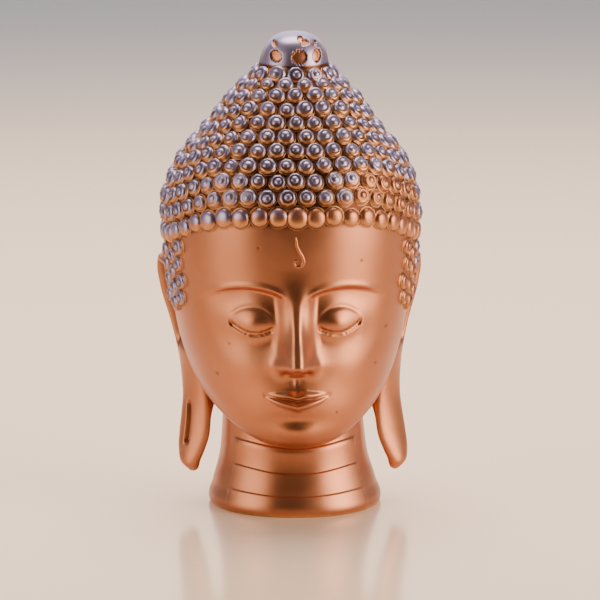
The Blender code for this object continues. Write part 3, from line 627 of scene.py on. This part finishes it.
def ring_run(level):
    """Angles round a ring of the head, and the length run to each."""
    angles = np.linspace(0.0, 2.0 * math.pi, 721)
    ring = head_surface(np.full_like(angles, level), angles)
    return angles, np.concatenate(([0.0], np.cumsum(np.linalg.norm(np.diff(ring, axis=0), axis=1))))


def row_places(level, first_degrees):
    """Places of one row: level, angle and share of full size, from an angle to its mirror."""
    angles, run = ring_run(level)
    count = round(run[-1] / CURL_PITCH)
    wanted = (np.arange(count) + 0.5 * (level % 2)) * run[-1] / count
    turned = np.interp(wanted, run, angles)
    return [(level, angle, 1.0) for angle in turned
            if abs(angle - math.pi) < math.pi - math.radians(first_degrees)]


curl_rows = [row_places(row, -1.0) for row in range(RING_COUNT)]
for row in range(1, NAPE_ROWS + 1):
    corner = NAPE_START_ANGLE + (NAPE_CORNER_ANGLE - NAPE_START_ANGLE) * (row / NAPE_ROWS) ** 3
    curl_rows.append(row_places(-row, corner))
temple_row = []
for number, temple_level in enumerate(TEMPLE_LEVELS):
    for column, degrees in enumerate(TEMPLE_ANGLES):
        turn = math.radians(degrees + 2.0 * (number % 2))
        lower = temple_level - 0.3 * (column % 2)
        temple_row += [(lower, turn, TEMPLE_CURL_SHARE),
                       (lower, 2.0 * math.pi - turn, TEMPLE_CURL_SHARE)]
curl_rows.append(temple_row)


def model_curl(name, outline, top, sides):
    """One curl, drawn up from a disc ring by ring and closed with a low point."""
    bpy.ops.object.select_all(action="DESELECT")
    bpy.ops.mesh.primitive_circle_add(vertices=sides, radius=outline[0][0], fill_type="NGON",
                                      location=(0.0, 0.0, outline[0][1]))
    shaped = bpy.context.object
    shaped.name = name
    bpy.ops.object.transform_apply(location=True)
    bpy.ops.object.mode_set(mode="EDIT")
    bpy.ops.mesh.select_all(action="SELECT")
    for (wide, low, before), (narrow, high, shift) in zip(outline, outline[1:]):
        step = (shift - before, 0.0, high - low)
        bpy.ops.mesh.extrude_region_move(TRANSFORM_OT_translate={"value": step})
        bpy.ops.transform.resize(value=(narrow / wide, narrow / wide, 1.0))
    bpy.ops.mesh.poke(offset=top - outline[-1][1])
    bpy.ops.mesh.select_all(action="SELECT")
    bpy.ops.mesh.normals_make_consistent(inside=False)
    bpy.ops.object.mode_set(mode="OBJECT")
    return shaped


shell = model_curl("shell_curl", SHELL_OUTLINE, SHELL_TOP, SHELL_SIDES)
button = model_curl("button_curl", BUTTON_OUTLINE, BUTTON_TOP, BUTTON_SIDES)

random = np.random.default_rng(7)
for number, row in enumerate(curl_rows):
    copies = []
    for place_level, place_angle, share in row:
        kind = button if place_level == 0.0 else shell
        shape = stored_points(kind)
        centre = head_surface(place_level, place_angle)
        normal = head_normal(place_level, place_angle)
        side_way = np.cross((0.0, 0.0, 1.0), normal)
        side_way = side_way / np.linalg.norm(side_way)
        up_way = np.cross(normal, side_way)
        size = share * random.uniform(*CURL_SIZES)
        if place_level == 0.0 and place_angle < 0.01:
            size = MIDDLE_CURL_SHARE
        centre = centre + random.uniform(-CURL_SLIP, CURL_SLIP) * side_way
        centre = centre + random.uniform(-CURL_SLIP, CURL_SLIP) * up_way
        centre = centre + random.uniform(-CURL_SINK, 0.0) * normal
        turn = random.uniform(0.0, 2.0 * math.pi)
        flat_x = shape[:, 0] * math.cos(turn) - shape[:, 1] * math.sin(turn)
        flat_y = shape[:, 0] * math.sin(turn) + shape[:, 1] * math.cos(turn)
        copy = kind.copy()
        copy.data = kind.data.copy()
        bpy.context.collection.objects.link(copy)
        set_points(copy, centre + size * (flat_x[:, None] * side_way + flat_y[:, None] * up_way
                                          + shape[:, 2:] * normal))
        # Silver lies on each cap above its collar, most of it on the cap's upper side; that share is
        # painted highlight of the light above.
        on_top = smooth_step(shape[:, 2], COLLAR_TOP, COLLAR_TOP + 0.6)
        upper = smooth_step(flat_y, -1.8, 1.2) if place_level == 0.0 else smooth_step(flat_y, -2.4, 0.6)
        # On the front rows the silver is taken off the middle and the right and kept on the left and
        # far right, as painted reflection of the soft boxes there.
        soft_box_reflection = 1.0
        if place_level == 0.0 and normal[1] < 0.0:
            soft_box_reflection = 1.0 - 0.45 * smooth_step(centre[0], -24.0, -12.0)
            soft_box_reflection = soft_box_reflection - 0.45 * smooth_step(centre[0], 0.0, 8.0)
        elif place_level < 2.5 and normal[1] < 0.0:
            outside_reflection = smooth_step(centre[0], 12.0, 22.0) * smooth_step(centre[0], 39.0, 35.0)
            soft_box_reflection = 1.0 - 0.7 * outside_reflection
        around = np.hypot(shape[:, 0], shape[:, 1])
        collar_groove = smooth_step(np.abs(shape[:, 2] - 0.05), 0.2, 0.05)
        shell_groove = smooth_step(np.abs(around - 1.6), 0.35, 0.25) * (place_level != 0.0)
        groove = np.maximum(collar_groove, shell_groove * random.uniform(0.4, 1.0))
        silver_with_highlight = on_top * (0.28 + 0.72 * upper) * soft_box_reflection
        set_layer(copy, "silver_and_highlight", silver_with_highlight * random.uniform(*SILVER_SHARES))
        set_layer(copy, "worn", CURL_GOLD * (1.0 - on_top * upper))
        # Painted shade in the collar's groove and the shell's groove, and full shade on the foot sunk
        # into the head.
        set_layer(copy, "painted_shade", GROOVE_SHADE * groove + (shape[:, 2] < 0.0))
        copies.append(copy)
    bpy.ops.object.select_all(action="DESELECT")
    for copy in copies:
        copy.select_set(True)
    bpy.context.view_layer.objects.active = copies[0]
    bpy.ops.object.join()
    row_piece = bpy.context.object
    row_piece.name = f"curl_row_{number + 1:02d}"
    row_piece.data.name = row_piece.name
    finish_piece(row_piece)
for kind in (shell, button):
    bpy.data.objects.remove(kind, do_unlink=True)


# The raised curl between the brows: a thin thread of clay laid on the forehead.
# It hooks over at the top, runs down in a long slant and winds up in a small spiral.
# Its path gives places across and up the face, and the thread's half thickness there.
URNA_PATH = ((-0.35, 92.6, 0.30), (0.05, 91.5, 0.42), (-0.05, 90.2, 0.50), (0.45, 88.9, 0.55),
             (1.25, 87.5, 0.60), (2.05, 86.1, 0.62), (2.35, 84.7, 0.62), (1.75, 83.5, 0.58),
             (0.55, 83.0, 0.52), (-0.55, 83.6, 0.46), (-0.75, 84.8, 0.42), (0.05, 85.5, 0.38),
             (0.75, 85.0, 0.32))
URNA_HALF = 0.62


def front_point(x, z):
    """Point of the face at a distance from the middle and a height."""
    low, high = -9.0, 3.0
    for _ in range(40):
        middle = 0.5 * (low + high)
        angle = math.asin(x / float(spline(SECTION_LEVELS, SECTION_VALUES, middle)[2]))
        point = head_surface(middle, angle)
        low, high = (middle, high) if point[2] < z else (low, middle)
    return point


urna_data = bpy.data.curves.new("raised_brow_curl", "CURVE")
urna_data.dimensions = "3D"
urna_data.bevel_depth = URNA_HALF * MM
urna_data.bevel_resolution = 4
urna_data.resolution_u = 10
urna_data.use_fill_caps = True
thread = urna_data.splines.new("NURBS")
thread.points.add(len(URNA_PATH) - 1)
for number, (across, height, half) in enumerate(URNA_PATH):
    thread.points[number].co = (*(front_point(across, height) * MM), 1.0)
    thread.points[number].radius = half / URNA_HALF
thread.order_u = 4
thread.use_endpoint_u = True
urna = bpy.data.objects.new("raised_brow_curl", urna_data)
bpy.context.collection.objects.link(urna)
bpy.ops.object.select_all(action="DESELECT")
urna.select_set(True)
bpy.context.view_layer.objects.active = urna
bpy.ops.object.convert(target="MESH")
set_layer(urna, "painted_shade", np.zeros(len(urna.data.vertices)))
set_layer(urna, "silver_and_highlight", np.zeros(len(urna.data.vertices)))
finish_piece(urna)


# Floor: a plain pale slab, polished enough to mirror the figure's foot softly.
floor_paint, floor_shader = new_material("polished_pale_stone")
bpy.ops.object.select_all(action="DESELECT")
bpy.ops.mesh.primitive_plane_add(size=8.0)
floor = bpy.context.object
floor.name = "floor"
where = add_node(floor_paint, "ShaderNodeTexCoord").outputs["Object"]
reach = add_node(floor_paint, "ShaderNodeVectorMath", {"operation": "LENGTH"}, {0: where})
# The floor's colour is painted light: warm and bright round the figure, fading to painted grey shade
# farther off.
light_falloff = add_node(floor_paint, "ShaderNodeMapRange", {"interpolation_type": "SMOOTHSTEP"},
               {"Value": reach.outputs["Value"], "From Min": 0.35, "From Max": 0.85})
floor_light_pool = add_node(floor_paint, "ShaderNodeMix", {"data_type": "RGBA"},
                {0: light_falloff.outputs["Result"], 6: linear("#FFE0BE"), 7: linear("#ACB2AE")})
floor_paint.node_tree.links.new(floor_light_pool.outputs[2], floor_shader.inputs["Base Color"])
floor_shader.inputs["Roughness"].default_value = 0.16
floor.data.materials.append(floor_paint)


# Studio light: two tall soft boxes beside the camera with a dark gap between them, and
# a broad one overhead. Behind, the floor mirrors a low warm strip, and the cool box
# above it edges the figure.
LIGHT_TARGET = (0.0, 0.0, 0.08)


def soft_box(name, place, size_x, size_y, power, colour, spread):
    """An area light that faces the middle of the figure."""
    data = bpy.data.lights.new(name, "AREA")
    data.shape = "RECTANGLE"
    data.size = size_x
    data.size_y = size_y
    data.energy = power
    data.color = linear(colour)[:3]
    data.spread = math.radians(spread)
    box = bpy.data.objects.new(name, data)
    bpy.context.collection.objects.link(box)
    box.location = place
    aim = np.array(LIGHT_TARGET) - np.array(place)
    turn = math.atan2(aim[0], aim[1])
    rise = math.atan2(aim[2], math.hypot(aim[0], aim[1]))
    box.rotation_euler = (math.pi / 2.0 + rise, 0.0, -turn)


soft_box("soft_left", (-0.95, -0.45, 0.35), 0.9, 1.0, 1.8, "#FFEDDC", 70.0)
soft_box("soft_right", (0.95, -0.45, 0.35), 0.9, 1.0, 4.1, "#FFEDDC", 70.0)
soft_box("soft_top", (0.0, 0.35, 1.1), 0.9, 0.6, 6.0, "#FFF4E8", 110.0)
soft_box("soft_back_low", (0.0, 1.2, 0.25), 2.0, 0.22, 1.7, "#FFDDB6", 120.0)
soft_box("soft_back_high", (0.0, 1.2, 0.75), 2.0, 0.7, 5.0, "#E6DCFF", 120.0)

# The room: behind the figure it is warm low down and cool above, and it is dark on the
# camera's side.
world = bpy.data.worlds.new("studio")
world.use_nodes = True
direction = add_node(world, "ShaderNodeTexCoord").outputs["Generated"]
split = add_node(world, "ShaderNodeSeparateXYZ", None, {"Vector": direction})
behind_share = add_node(world, "ShaderNodeMapRange", {"interpolation_type": "SMOOTHSTEP"},
                        {"Value": split.outputs["Y"], "From Min": -0.9, "From Max": 0.3})
high_share = add_node(world, "ShaderNodeMapRange", {"interpolation_type": "SMOOTHSTEP"},
                      {"Value": split.outputs["Z"], "From Min": -0.2, "From Max": 0.25})
backdrop = add_node(world, "ShaderNodeMix", {"data_type": "RGBA"},
                    {0: high_share.outputs["Result"], 6: linear("#E6CFB4"), 7: linear("#CDCBDE")})
shade = add_node(world, "ShaderNodeMix", {"data_type": "RGBA"},
                 {0: behind_share.outputs["Result"], 6: linear("#1A130E"), 7: backdrop.outputs[2]})
background = world.node_tree.nodes["Background"]
world.node_tree.links.new(shade.outputs[2], background.inputs["Color"])
background.inputs["Strength"].default_value = 0.6
bpy.context.scene.world = world


# Camera: a long lens a little to the figure's right, looking down on it slightly.
CAMERA_TURN = math.radians(-2.6)
CAMERA_RISE = math.radians(12.5)
CAMERA_DISTANCE = 6.0
FRAME_WIDTH = 0.1887
SENSOR = 36.0
CAMERA_TARGET = (0.0016, 0.0, 0.06415)
camera_data = bpy.data.cameras.new("camera")
camera = bpy.data.objects.new("camera", camera_data)
bpy.context.collection.objects.link(camera)
back = np.array((math.sin(CAMERA_TURN) * math.cos(CAMERA_RISE),
                 -math.cos(CAMERA_TURN) * math.cos(CAMERA_RISE), math.sin(CAMERA_RISE)))
camera.location = np.array(CAMERA_TARGET) + back * CAMERA_DISTANCE
camera.rotation_euler = (math.pi / 2.0 - CAMERA_RISE, 0.0, CAMERA_TURN)
camera_data.sensor_width = SENSOR
camera_data.lens = SENSOR * CAMERA_DISTANCE / FRAME_WIDTH
bpy.context.scene.camera = camera
